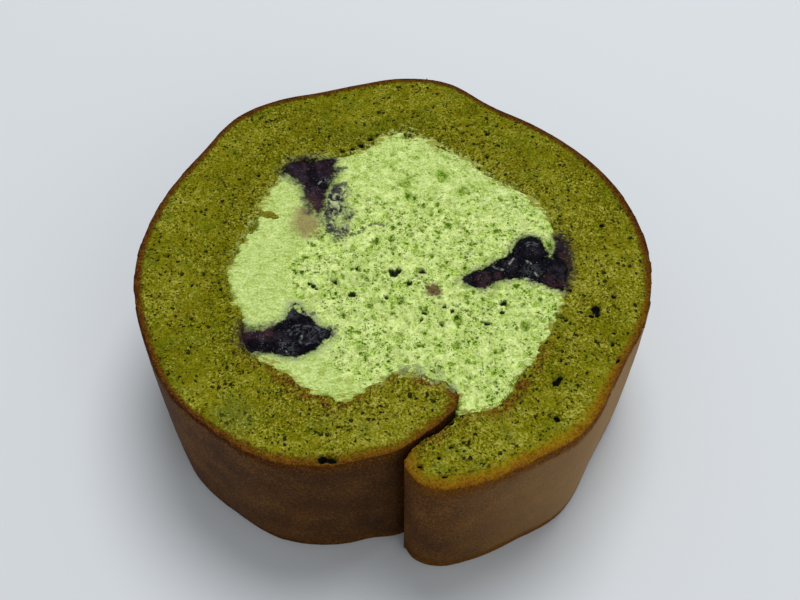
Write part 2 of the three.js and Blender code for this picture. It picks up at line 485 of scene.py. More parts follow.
def sheetSection():
    # The sheet's closed section, up the cream side, out over the upper cut, down the crust and
    # back under the base: share of the way from cream to crust, distance drawn in from there,
    # height, and distance down the crust from the nearer cut.
    s = spongeSettings
    turn = np.radians(np.linspace(0, 90, s["edgeRows"] + 1))
    radius, top = s["edgeRadius"], thickness

    def drawn(height):
        return s["draw"] * (1 - height / top) ** 2

    up = np.linspace(0, top, s["innerRows"] + 2)[1:-1]
    over = np.linspace(0, 1, s["topRows"])
    upperEdge = top - radius * (1 - np.cos(turn[1:]))
    down = np.linspace(top - radius, radius, s["sideRows"] + 2)[1:-1]
    lowerEdge = radius * (1 - np.sin(turn))
    back = np.linspace(1, 0, s["baseRows"])[1:]
    share = np.concatenate([0 * up, over, 1 + 0 * turn[1:], 1 + 0 * down, 1 + 0 * turn, back])
    inwards = np.concatenate([
        0 * up, radius * over, radius * (1 - np.sin(turn[1:])) + drawn(upperEdge), drawn(down),
        radius * (1 - np.cos(turn)) + drawn(lowerEdge), (radius + drawn(0)) * back])
    height = np.concatenate([up, top + 0 * over, upperEdge, down, lowerEdge, 0 * back])
    fromCut = radius * (np.pi / 2 - 1) + np.minimum(down, top - down)
    alongCrust = np.concatenate([
        0 * up, 0 * over, radius * turn[1:], fromCut, radius * turn[::-1], 0 * back])
    return share, inwards, height, alongCrust


def gridNormals(grid):
    # Unit normals of a grid of points, from the cross product of its central differences.
    along = np.gradient(grid, axis=0)
    around = np.roll(grid, -1, 1) - np.roll(grid, 1, 1)
    normal = np.cross(along, around)
    return normal / np.maximum(np.linalg.norm(normal, axis=-1, keepdims=True), 1e-9)


def bells(bearing, *rows):
    # Sum of bells (height, middle, width): each falls by smoothstep from its height at its
    # middle to 0 that many degrees to either side.
    return sum(height * (1 - smooth(0, width, np.abs(bearing - middle))) for height, middle, width in rows)


def makeSponge(finish):
    # The section carried along the sheet: each point lies at its column's bearing, at a radius
    # between cream and crust by its share and less what is drawn in, and sinks along the
    # normal by the depth of swells, crumb, pits, pores and tears.
    s = spongeSettings
    along, length = sheetColumns(s["columns"])
    rows = curveThrough(sheetRows, along)
    share, inwards, height, alongCrust = sheetSection()
    columns, around = len(along), len(share)
    bearing, inner, outer = (rows[:, i:i + 1] for i in range(3))
    way = np.linspace(0, length, columns)[:, None]
    toEnd = np.minimum(way, length - way)
    opened = smooth(*s["seam"], bearing)
    crisp = np.maximum(opened, s["tuckedRound"])
    edge = np.minimum(inwards, s["edgeRadius"])
    drawnIn = edge * crisp + (inwards - edge) * opened
    growth, shrinkage = (smooth(*ends, bearing) for ends in s["apronEnds"])
    apron = s["apron"] * growth * shrinkage
    radius = (inner - apron + share * (outer - s["inset"] - inner + apron)
        - drawnIn * np.minimum(1, (outer - inner) / s["thin"]))
    width = outer - inner + apron
    fromCream = share * width - apron
    flat = np.dstack([polarPlan(bearing + 0 * radius, radius), 0 * radius]).reshape(-1, 3)
    uneven = s["apronTeeth"] * grain(flat, 2, 43, 3).reshape(columns, around)
    fall = s["apronFall"] * smooth(0.1, -s["apron"], fromCream + uneven) * height / thickness
    grid = np.dstack([polarPlan(bearing + 0 * radius, radius) + rollMiddle, height - fall])
    normal = gridNormals(grid)
    if normal[columns // 2, s["innerRows"] + s["topRows"] // 2, 2] < 0:
        normal = -normal
    points = grid.reshape(-1, 3)

    fromCrust = np.minimum((1 - share) * width, toEnd) - alongCrust
    cut = smooth(*s["level"], np.abs(normal[..., 2])).ravel()
    upper = cut * smooth(thickness / 2, thickness - 3, points[:, 2])
    pore = spots(points, s["pores"], 5) * upper
    tear = streaks(points, s["tears"], s["tearWidth"]) * upper
    swell = 0.5 + 0.5 * grain(points, 6, 3)
    crumb = 0.5 + 0.5 * grain(points, 1.15, 9)
    holes = pits(points, 2.1, 21)
    depth = cut * (s["swell"] * swell + s["crumb"] * crumb + s["pitDepth"] * holes)
    depth = depth * smooth(0, 0.9, fromCrust.ravel()) + cut * s["least"]
    depth += s["poreDepth"] * np.sqrt(pore) + s["tearDepth"] * tear
    sink = np.minimum(depth, s["share"] * width.repeat(around, 1).ravel())
    flaky = smooth(3, 0.5, alongCrust)[None] * smooth(thickness / 2, thickness, grid[..., 2])
    everywhere, slow, quick = s["crust"]
    sink += (1 - cut) * (everywhere + slow * grain(points, 3, 47, 3) + quick * grain(points, 0.9, 53))
    sink += (1 - cut) * flaky.ravel() * s["flake"] * smooth(0.08, -0.08, grain(points, 2.2, 57, 3))
    points = points - normal.reshape(-1, 3) * sink[:, None]
    points[:, 2] = np.clip(points[:, 2], 0, thickness)

    ends = points.reshape(columns, around, 3)[[0, -1]].mean(1)
    ring = np.arange(around)
    faces = [gridFaces(columns, around), fanFaces(ring[::-1], len(points)),
        fanFaces(ring + (columns - 1) * around, len(points) + 1)]
    marks = {
        "fromCrust": fromCrust, "fromCream": fromCream, "alongSheet": way, "pore": pore, "tear": tear,
        "creamed": bells(bearing, (1, 195, 75), (0.5, 110, 40), (1, -8, 14)),
        "browned": bells(bearing, (1, 28, 38), (1, 322, 30), (1, 356, 20), (1, -10, 16)),
        "crusty": 0.42 + bells(bearing, (0.15, 80, 75), (0.75, 12, 40), (0.6, 357, 16),
            (0.85, 334, 55), (0.5, -15, 14), (0.2, 265, 60)),
        "golden": bells(bearing, (1, 330, 75), (0.45, 6, 40)),
        # Painted light on the skin at the right side, and painted shade on it at the front
        "bright": bells(bearing, (1, 298, 60)), "dusky": bells(bearing, (1, 0, 45)),
        "fresh": bells(bearing, (1, 322, 80), (0.7, 18, 50), (1, -12, 30)),
        "stained": np.maximum.reduce([within(points, o) for o in s["stains"]]),
        "moist": within(points, s["moist"]), "smeared": spots(points, s["smears"], 11),
    }
    for key, value in marks.items():
        value = np.broadcast_to(value.reshape(columns, -1), (columns, around))
        marks[key] = np.append(value.ravel(), [value[0].mean(), value[-1].mean()])
    makePiece("sponge_roll", np.vstack([points, ends]), faces, finish, ["sponge"], marks)


def spongeFinish():
    # Crumb coloured by noise, painted shade in its pits and pores, coats for stains and smears,
    # browning by the distance from the crust, and painted light and shade on the crust's skin.
    f = Finish("sponge_crumb", {"Specular IOR Level": 0.1})
    fine = f.noise(0.4, 2, 0.7)
    flecks = f.noise(0.55, 2, 0.6, at=f.stirred(0.9, 0.22)).step(0.55, 0.68)
    strands = abs(f.noise(0.9, 2, 0.6) - 0.5).step(0.05, 0)
    patches = f.noise(1.7, 3, 0.6)
    broad = f.noise(9)
    rough = f.noise(5).step(0.35, 0.65)
    fromCream = f.mark("fromCream")
    sheetPlace = f.add("CombineXYZ", {}, {0: f.mark("alongSheet"), 1: fromCream * 0.4})
    level = (0.48 + (patches - 0.5) * 0.6 + (fine - 0.5) * (1 + rough * 1.3) + (broad - 0.5) * 0.5
        + flecks * 0.22 + strands * 0.12 + f.mark("fresh") * 0.07)
    f.colour = f.ramp(level, [(0.05, 60, 60, 0), (0.36, 98, 98, 0), (0.6, 127, 126, 2),
        (0.95, 180, 176, 76)])
    f.coat(f.noise(3.6).step(0.5, 0.64) * 0.25, (126, 112, 0))
    f.coat(f.noise(4.4).step(0.54, 0.68) * 0.32, (74, 94, 0))

    # Open pits in clumps, drawn out across the sheet near the cream and crowded along tears,
    # coloured nearly black as painted shade inside them.
    apart = 1 - f.noise(3.5).step(0.4, 0.62)
    torn = f.stirred(0.5, 0.34)
    crisp = (f.pores(1, 0.03, 0.5, at=torn) - apart * 0.4).step(0, 0.25)
    tiny = (f.pores(0.62, 0.02, 0.46, at=torn) - apart * 0.5).step(0, 0.35)
    dashes = f.noise(0.5, 2, 0.6, at=sheetPlace).step(0.59, 0.64) * fromCream.step(9, 0.5)
    gaps = f.noise(0.7, 2, 0.6, at=f.stirred(1.4, 0.4))
    holes = (gaps + f.mark("tear") * 0.06).step(0.64, 0.67)
    dark = crisp | tiny * 0.8 | dashes * 0.8 | holes * 0.95
    # Painted shade: the pits, dashes and gaps darken the crumb to near black.
    f.coat(dark * 0.92, (15, 19, 0))

    # The cream side has a browned edge in places, and what the fruits have stained
    edge = fromCream + f.wander(5, 1.2, 3, 0.65)
    rim = edge.step(3.2, 1.1) * f.mark("browned") * f.noise(1.9, 3, 0.65).step(0.42, 0.54)
    toasted = f.ramp(fine, [(0.36, 52, 24, 2), (0.5, 108, 66, 12), (0.64, 142, 104, 28)])
    f.coat(rim * 0.9, toasted)
    stained = (f.mark("stained") + f.wander(3.4, 0.9, 3, 0.6)).step(-1.1, 1.3)
    f.coat(stained * (0.95 - flecks * 0.4), (42, 27, 38))
    moist = (f.mark("moist") + (patches - 0.5) * 5).step(-1, 2.5)
    f.coat(moist * 0.3, (94, 108, 24))
    # Painted highlights: small pale glints of wet shine on the moist patch.
    f.coat(moist * f.noise(0.34, 2, 0.6).step(0.64, 0.7), (190, 200, 140))

    # The crust: browning on the cut, then its skin down the side
    way = f.mark("fromCrust")
    ring = way / f.mark("crusty") + f.wander(1.5, 0.7, 3, 0.65) + f.wander(2.4, 1.8, 2, 0.6)
    browning = ring * (1 / 6) + 0.5
    deep = f.ramp(browning, [(0.1, 82, 46, 12), (0.42, 64, 30, 2), (0.52, 84, 44, 4), (0.66, 99, 63, 6),
        (0.78, 94, 80, 0), (0.94, 102, 98, 0)])
    gold = f.ramp(browning, [(0.1, 106, 64, 18), (0.42, 120, 73, 10), (0.52, 134, 92, 8),
        (0.62, 144, 110, 8), (0.74, 138, 118, 6), (0.94, 124, 118, 2)])
    toast = f.mix(f.mark("golden"), deep, gold)
    toast = f.mix(fine.step(0.5, 0.38) * (0.6 - f.mark("golden") * 0.3), toast, (38, 16, 0))
    toast = f.mix(fine.step(0.55, 0.63) * 0.22, toast, (168, 124, 56))
    f.coat(ring.step(2.6, 1.2), toast)

    # Smears of cream, over the crumb and the crust's edge
    spread = edge.step(1.8, 0.6) * f.mark("creamed") * f.noise(0.8, 3).step(0.49, 0.55)
    dragged = (f.mark("smeared") * 1.6 - 0.5 + f.wander(2.5, 1, 3, 0.6)).step(0, 0.8)
    f.coat(spread * 0.85, (184, 202, 116))
    f.coat(dragged * 0.85, f.ramp(fine, [(0.35, 104, 120, 70), (0.6, 184, 200, 136)]))
    pricks = f.pores(0.8, 0.03, 0.26).step(0, 0.6)
    skinPatches = f.noise(7) * 0.5 + 0.25
    skin = f.ramp(skinPatches + (fine - 0.5) * 1.1, [(0.2, 38, 18, 0), (0.5, 80, 46, 6),
        (0.85, 132, 88, 30)])
    skin = f.mix(pricks * 0.75, skin, (30, 13, 0))
    # Painted light: the skin at the right side is lightened to tan, as if lit from there.
    skin = f.mix(f.mark("bright") * 0.75, skin, (166, 132, 84))
    # Painted shade: the skin at the front is darkened, as if turned from the light.
    skin = f.mix(f.mark("dusky") * 0.4, skin, (24, 12, 2))
    # Painted shade: the larger pores are coloured near black for the shade inside them.
    f.coat(f.mark("pore").step(0.1, 0.4), (13, 19, 8))
    onSkin = ring.step(-1.2, -3.2)
    f.coat(onSkin, skin)
    roughness = 0.95 - onSkin * 0.25 - moist * 0.3
    relief = ((fine * 0.25 + flecks * 0.1 + strands * 0.06 - dark * 0.35) * (1 - onSkin)
        - onSkin * pricks * 0.12 + onSkin * f.noise(0.45, 3) * 0.1)
    return f.done(roughness, relief)


# The cream filling

creamSettings = {
    "across": 236,            # quads across the upper face
    "baseRings": 30,
    "wallRows": 7,
    "below": 0.16,            # how far it lies below the sponge's cut
    "tuck": 1.4,              # how far its edge reaches under the sponge
    "fall": 1.6,              # how far its surface falls away there
    "teeth": 2.6,             # how far the edge wanders in and out
    "mouth": (340.6, 343.4),  # bearings over which it closes between the sheet's ends
    "swell": 0.45,
    "tear": 0.85,             # depth of the torn, bubbly part
    "hole": 1.8,              # depth of a placed hole
    "hollow": 0.9,
    # Shares of lumps and folds in the torn part; depth of brush marks, lumps and bubbles in the
    # smooth part
    "tornMix": (0.35, 0.5),
    "smoothMix": (0.12, 0.1, 0.25),
    "rimShare": 0.25,         # of all that depth, right beside the sponge
    "baseDepth": 2,           # most that the base is sunk
    "healed": 0.55,           # how much less torn it is at the back
    "back": (11, 20),         # y over which the back starts
    "holeMark": 1.3,          # how much wider a hole is coloured than it is deep
    "holes": [(0, -2.9, 0.75), (0.9, -2.2, 0.55), (-0.6, -2, 0.4), (-7.6, -7.5, 0.72), (-11, -4.3, 0.5),
        (-6.9, -1.5, 0.4), (5.3, -2.4, 0.6), (3, -5, 0.45), (-1.3, -8.2, 0.4), (16.9, -14.2, 0.55),
        (19.7, -11.7, 0.5), (20.1, -9.6, 0.6), (9.3, -10.3, 0.38), (10.7, -11.3, 0.38), (8.7, -14.3, 0.36),
        (5.5, -11.8, 0.42), (5.1, -13.2, 0.3), (13.7, -12, 0.3), (-15.4, -5.1, 0.35), (-14.7, -5.7, 0.42),
        (-14.1, -6.2, 0.3), (10.5, -34.2, 0.6)],
    # Border (y, x) between the smooth part, at the left, and the torn part
    "border": [(-32, -2), (-27.7, -4.8), (-25, -8.4), (-22.1, -11.1), (-19.3, -10.3), (-16.5, -10.9),
        (-13.5, -12.6), (-9.4, -16.4), (-6, -18.9), (-0.7, -20.2), (2.2, -18.3), (7.6, -15.5), (14, -11.5),
        (18, -11), (24, -12)],
    # Outlines coloured by juice, and small marks (x, y, radius)
    "tanned": [(-18.6, 12.6), (-19.3, 9.5), (-19.1, 7.6), (-17.1, 6.1), (-14.4, 6.6), (-14.6, 10),
        (-16, 13.6)],
    "lacy": [(-14.8, 18.2), (-9.3, 19.2), (-8.4, 15.6), (-7.9, 10.5), (-8.8, 5.8), (-10.9, 5.4), (-12.9, 8),
        (-14, 11), (-14.6, 14.6)],
    "flecks": [[(-12, 21.9), (-10.8, 23), (-9.6, 23.6)], [(-7.9, 6.4), (-6.6, 7), (-5.4, 8.1)],
        [(-4.4, 8.9), (-3, 9.2), (-1.9, 8.9)], [(-12.9, 10.4), (-11.6, 8.2), (-10.6, 6)],
        [(-12.7, -16.5), (-11.6, -15.7), (-10.6, -14.8)], [(-12.3, -17.6), (-11.4, -17), (-10.7, -16.1)],
        [(-14.5, -11.9), (-13.7, -13)], [(-13.6, 18.4), (-11.6, 18.7), (-9.4, 19.4)],
        [(-13, 17), (-12.7, 14.6), (-12.9, 12.4), (-12.3, 10.4)]],
    "tinged": [(18.5, -7.9, 0.9), (-12.5, -24.8, 0.8), (-8, -26.7, 1)],
    "crumbed": [(7.4, -6.7, 2.3)],
    "hollows": [(9.7, 21.6, 1.6), (3.5, 15.9, 1.3), (13.5, 17.7, 1.3), (2, 19.8, 1.4), (-0.3, 5.7, 1),
        (3.2, 6.6, 0.9), (1.3, -9, 0.9), (11.5, -13.1, 1.2), (17.6, -9.9, 0.9), (11.3, -18.9, 0.9),
        (-0.3, 3.2, 0.8), (-4.5, -9.9, 0.9), (23.9, -14.1, 1), (25.6, -9.6, 1)],
}


def fillingRadius(bearing):
    # Radius of the cream at bearings from the mouth round to it again: the sheet's inner
    # radius and the tuck, led across the mouth by smoothstep.
    start, end = creamSettings["mouth"]
    turned = (bearing - end) % 360 + end - 360
    radius = np.interp(turned, sheetFine[:, 0], sheetFine[:, 1])
    first, last = np.interp([end - 360, start], sheetFine[:, 0], sheetFine[:, 1])
    across = last + (first - last) * smooth(start, end, turned)
    return np.where(turned > start, across, radius) + creamSettings["tuck"]


def underSponge(points):
    # How far a point lies beyond the sponge's edge on the cream: its radius less the sheet's
    # inner radius, or, at the tucked-in end, the least distance in from that end's sides.
    flat = points[:, :2] - rollMiddle
    radius = np.hypot(*flat.T)
    bearing = np.degrees(np.arctan2(-flat[:, 0], -flat[:, 1])) % 360
    beyond = radius - np.interp(bearing, sheetFine[:, 0], sheetFine[:, 1])
    inner, crust = (np.interp(bearing - 360, sheetFine[:, 0], sheetFine[:, i]) for i in (1, 2))
    along = np.radians(bearing - 360 - sheetFine[0, 0]) * radius
    return np.maximum(beyond, np.minimum(np.minimum(radius - inner, crust - radius), along))


def edgeFall(points):
    # How far the filling's surface falls under the sponge's edge: a smoothstep outwards, moved
    # in and out by noise drawn out along x, as a knife leaves it.
    s = creamSettings
    ragged = grain(points * [0.45, 1.1, 1], 1.2, 37, 3) + 0.7 * grain(points, 2.8, 39)
    return s["fall"] * smooth(-0.4, 1.8, underSponge(points) + s["teeth"] * ragged)


def concentric(side):
    # A square of points led onto the unit disc: a point's ring is the larger of its two
    # sizes, and its angle grows evenly along the ring.
    line = np.linspace(-1, 1, side + 1)
    x, y = np.meshgrid(line, line)
    ring = np.maximum(np.abs(x), np.abs(y))
    upright = np.abs(y) > np.abs(x)
    safe = np.where(ring > 0, ring, 1)
    angle = np.where(upright, np.pi / 2 * np.sign(y) - np.pi / 4 * x * np.sign(y) / safe,
        np.pi / 4 * y * np.sign(x) / safe + np.pi * (x < 0))
    return ring, angle


def squareRim(side):
    # The numbers of the square's outer points, once round.
    square = np.arange((side + 1) ** 2).reshape(side + 1, side + 1)
    return np.concatenate([square[0, :-1], square[:-1, -1], square[-1, :0:-1], square[:0:-1, 0]])


def tornShare(points):
    # How torn the cream is: smooth to the left of a border, torn in the middle and right, and
    # half torn at the back.
    s = creamSettings
    flat = inPlan(points)
    border = np.interp(flat[:, 1], *np.array(s["border"]).T)
    back = 1 - s["healed"] * smooth(*s["back"], flat[:, 1] + 2.5 * grain(points, 6, 62))
    return smooth(-1.5, 1.5, flat[:, 0] - border + 1.8 * grain(points, 3, 61, 3)) * back


def creamDepth(points):
    # Depth below the upper face: slow swells, folds where the noise is near zero, bubbles
    # of two sizes and the placed holes, all less near the sponge, and the fall under it.
    s = creamSettings
    torn = tornShare(points)
    swell = 0.5 + 0.5 * grain(points, 8, 63)
    folds = 1 - np.abs(grain(points, 2.6, 67, 3))
    lumps = 0.5 + 0.5 * grain(points, 1.4, 71)
    bubbles = np.maximum(pits(points, 1.9, 73, 0.1, 0.5), 0.7 * pits(points, 1.05, 79, 0.1, 0.5))
    brush = 0.5 + 0.5 * grain(points * [1, 0.25, 1], 1.1, 83)
    placed = np.sqrt(spots(points, s["holes"], 2, 0.35))
    hollow = np.maximum(spots(points, s["hollows"], 3, 0.6), 0)
    lumpShare, foldShare = s["tornMix"]
    brushDepth, lumpDepth, bubbleDepth = s["smoothMix"]
    foam = lumpShare * lumps + foldShare * folds ** 6 + bubbles
    calm = brushDepth * brush + lumpDepth * lumps + bubbleDepth * bubbles * (bubbles > 0.5)
    depth = s["swell"] * swell + torn * s["tear"] * foam + (1 - torn) * calm
    depth = depth + s["hole"] * placed + s["hollow"] * hollow
    eased = s["rimShare"] + (1 - s["rimShare"]) * smooth(-0.3, -2.5, underSponge(points))
    return depth * eased + edgeFall(points), hollow, torn, bubbles


def makeCream(finish):
    # A disc on a square's rings, whose outer rings take the outline: its radius is the ring's
    # share of the filling's. A wall goes down from its rim, and rings go back in below.
    s = creamSettings
    side, top = s["across"], thickness - s["below"]
    ring, angle = concentric(side)
    bearing = np.degrees(angle)
    reach = fillingRadius(bearing)
    even = reach.mean()
    radius = ring * (even + (reach - even) * ring ** 3)
    flat = polarPlan(bearing, radius).reshape(-1, 2) + rollMiddle
    rim = squareRim(side)
    upper = np.column_stack([flat, np.full(len(flat), top)])
    heights = np.linspace(top, 0, s["wallRows"] + 1)[1:]
    wall = np.dstack([flat[rim] + 0 * heights[:, None, None], heights[:, None] + 0 * rim])
    inwards = np.linspace(1, 0, s["baseRings"] + 1)[1:-1, None]
    base = np.dstack([rollMiddle + (flat[rim] - rollMiddle) * inwards[..., None], 0 * inwards + 0 * rim])
    points = np.vstack([upper, wall.reshape(-1, 3), base.reshape(-1, 3), [[*rollMiddle, 0]]])
    count, first = len(rim), len(upper)
    below = np.arange(count)
    joined = np.stack([rim, np.roll(rim, -1), np.roll(below, -1) + first, below + first], -1)
    faces = [gridFaces(side + 1, side + 1, closed=False)[:, ::-1], joined,
        gridFaces(s["wallRows"] + s["baseRings"] - 1, count, first=first),
        fanFaces(below + len(points) - 1 - count, len(points) - 1)]
    cutPockets(makePiece("cream_filling", points, faces, finish, ["cream"], {}))


def cutPockets(piece):
    # Takes the fruits' columns out of the cream, sinks its faces by the depth at each point
    # and writes the marks that its finish reads.
    for name in fruitSettings["fruits"]:
        cutter = fruitColumn(name)
        cut = piece.modifiers.new("pocket", "BOOLEAN")
        cut.operation, cut.solver, cut.object = "DIFFERENCE", "MANIFOLD", cutter
        graph = bpy.context.evaluated_depsgraph_get()
        carved = bpy.data.meshes.new_from_object(piece.evaluated_get(graph))
        piece.modifiers.clear()
        piece.data = carved
        bpy.data.objects.remove(cutter)
    mesh = piece.data
    mesh.name = piece.name
    points = np.zeros(len(mesh.vertices) * 3, np.float32)
    mesh.vertices.foreach_get("co", points)
    points = points.reshape(-1, 3).astype(float) / mm
    depth, hollow, torn, bubbles = creamDepth(points)
    upper = smooth(thickness - 9, thickness - 1, points[:, 2])
    lower = smooth(6, 0.5, points[:, 2])
    s = creamSettings
    points[:, 2] += lower * np.minimum(depth, s["baseDepth"]) - upper * depth
    mesh.vertices.foreach_set("co", (points * mm).astype(np.float32).ravel())
    wider = [(x, y, s["holeMark"] * radius) for x, y, radius in s["holes"]]
    addMarks(mesh, {
        "hole": spots(points, wider, 2, 0.35), "hollow": hollow, "torn": torn, "sunk": bubbles * torn,
        "tanned": within(points, s["tanned"]), "lacy": within(points, s["lacy"]),
        "flecked": streaks(points, s["flecks"], 0.8), "tinged": spots(points, s["tinged"], 15),
        "crumbed": spots(points, s["crumbed"], 16), "toSponge": -underSponge(points),
        "smeared": spots(points, spongeSettings["smears"], 11),
        "inFruit": inFruit(points), "soft": softness(points),
    })
    print("pockets cut, the cream has", len(mesh.vertices), "points")


def softness(points):
    # 1 where the skins have run: a corner of the cake begins by smoothstep over a range of x
    # and one of y, and the corner that counts most is taken.
    x, y = points[:, :2].T
    return np.maximum.reduce([
        smooth(*overX, x) * smooth(*overY, y) for overX, overY in fruitSettings["softened"]])


def inFruit(points):
    # How far points lie inside the nearest fruit's outline, less than zero in the cream.
    fruits = fruitSettings["fruits"].values()
    curves = [curveThrough(fruit["outline"], turns(90, 1), closed=True) for fruit in fruits]
    return np.maximum.reduce([within(points, curve + rollMiddle - markOrigin) for curve in curves])


def creamFinish():
    # Smooth and bubbly cream, mixed by how torn it is, with painted light and shade on its foam,
    # under coats for painted shade in pits and holes, for crumbs and for juice.
    f = Finish("whipped_cream", {"Specular IOR Level": 0.2, "Subsurface Weight": 0.08,
        "Subsurface Scale": 0.001, "Subsurface Radius": (1, 1, 0.45)})
    torn = f.mark("torn")
    fine = f.noise(0.36, 3, 0.65)
    lumps = f.noise(1.5, 3, 0.6)
    folds = f.noise(4)
    brushed = f.add("VectorMath", {"operation": "MULTIPLY"}, {0: f.place, 1: (0.3, 1, 1)})
    brush = f.noise(0.42, 3, 0.6, at=brushed)

    # Foam: curled ridges, green hollows, and pits in crowds, drawn out along a slant; ridges and
    # glints are lightened as painted highlights, pits, furrows and hollows darkened as painted shade.
    crowd = f.noise(3.4).step(0.4, 0.58)
    slanted = f.add("Mapping", {}, {"Vector": f.stirred(0.6, 0.3), "Rotation": (0, 0, -0.55),
        "Scale": (0.7, 1, 1)})
    foam = f.pores(1.5, 0.08, 0.72, at=f.stirred(0.8, 0.42))
    small = f.pores(0.72, 0.12, 0.66, at=slanted) + crowd * 0.35 - 0.35
    fizz = f.pores(0.44, 0.12, 0.6, at=f.stirred(0.4, 0.15)) + crowd * 0.7 - 0.7
    curls = f.noise(1.5, 3, 0.62, warp=1.3)
    ridges = abs(curls - 0.5).step(0.05, 0)
    worms = f.noise(0.85, 2, 0.6, at=slanted, warp=1.4)
    furrows = abs(worms - 0.44).step(0.035, 0)
    gaps = f.noise(1.1, 3, 0.7, at=f.stirred(0.9, 0.3)).step(0.64, 0.67)
    shallow = foam.step(0, 0.7)
    dimples = small.step(0, 0.5)
    pitted = torn * (foam.step(0.6, 0.8) | small.step(0.38, 0.62) | fizz.step(0.1, 0.34) | gaps)
    glints = f.noise(0.42, 2, 0.7, at=slanted).step(0.58, 0.65)
    # Painted light and shade on the foam: ridges and glints lighter, shallow pits, dimples and furrows
    # darker.
    bubbled = (ridges * 0.24 + glints * 0.24 - shallow * 0.42 - dimples * 0.36 + (worms - 0.5) * 0.8
        - furrows * 0.2)
    # Painted shade: the hollows and sunken bubbles are darkened.
    level = (0.6 + torn * 0.2 + (fine - 0.5) * (1.2 + torn * 0.35) + (lumps - 0.5) * (0.45 + torn * 0.4)
        + (folds - 0.5) * (0.3 + torn * 0.3) + torn * (curls - 0.5) + (1 - torn) * (brush - 0.5) * 0.7
        - f.mark("hollow").step(0, 0.8) * 0.35 + torn * bubbled - f.mark("sunk").step(0.15, 0.9) * 0.12)
    smoothed = f.ramp(level, [(0, 50, 84, 0), (0.25, 112, 148, 22), (0.5, 170, 193, 96),
        (0.75, 203, 222, 138), (1, 226, 241, 170)])
    bubbly = f.ramp(level, [(0, 58, 92, 0), (0.25, 114, 154, 16), (0.5, 168, 198, 80),
        (0.75, 204, 228, 124), (1, 226, 244, 156)])
    f.colour = f.mix(torn, smoothed, bubbly)
    # Painted shade in the crowded pits and gaps.
    f.coat(pitted * 0.82, (56, 90, 0))
    # Painted shade in the placed holes.
    f.coat(f.mark("hole").step(0.1, 0.5) * 0.95, (16, 36, 4))
    spotted = f.noise(1.7, 1).step(0.66, 0.72) | f.mark("tinged").step(0, 0.9)
    f.coat(spotted * 0.5, (150, 160, 44))
    crumbed = (f.mark("crumbed") * 2.6 - 0.8 + f.wander(2.8, 0.6, 3, 0.6)).step(0, 1.3)
    f.coat(crumbed * 0.9, f.ramp(fine, [(0.4, 70, 40, 26), (0.6, 116, 78, 52)]))

    # Sponge dragged over the edge in strands along x, and greyed where it is smeared
    strands = f.noise(0.7, 2, 0.6, at=brushed)
    bleed = (f.mark("toSponge") - (strands - 0.5) * 7 - (lumps - 0.5) * 3).step(0.7, -0.2)
    f.coat(bleed * 0.8, (136, 132, 12))
    greyed = (f.mark("smeared") * 2 - 0.8 + (lumps - 0.5) * 3).step(0, 1)
    f.coat(greyed * 0.5, (134, 146, 108))

    # Juice: a soft tint, threads of skin, and the blurred edge of each fruit
    tanned = (f.mark("tanned") + (lumps - 0.5) * 4).step(-1.6, 1)
    f.coat(tanned * 0.78, (134, 110, 66))
    soft = f.mark("soft")
    outside = f.mark("inFruit")
    halo = (outside + (lumps - 0.5) * 2.4).step(-1.7, 0) * (0.5 - soft * 0.3)
    f.coat(halo, (120, 124, 104))
    f.coat(f.edged(outside, soft), f.flushed(soft))
    f.lace((f.mark("lacy") + (lumps - 0.5) * 4).step(-0.9, 0.7))
    flecked = (f.mark("flecked") * 1.6 - 0.9 + f.wander(5, 0.8, 3, 0.65)).step(0, 0.7)
    f.coat(flecked * 0.75, (50, 48, 52))
    relief = (torn * (fine * 0.12 + curls * 0.35 - shallow * 0.3 - dimples * 0.2 + ridges * 0.1)
        + lumps * 0.15 + (1 - torn) * (fine * 0.1 + brush * 0.1))
    return f.done(0.62 + torn * 0.15, relief)


# The fruits, soft dark berries crushed between the sponge and the cream

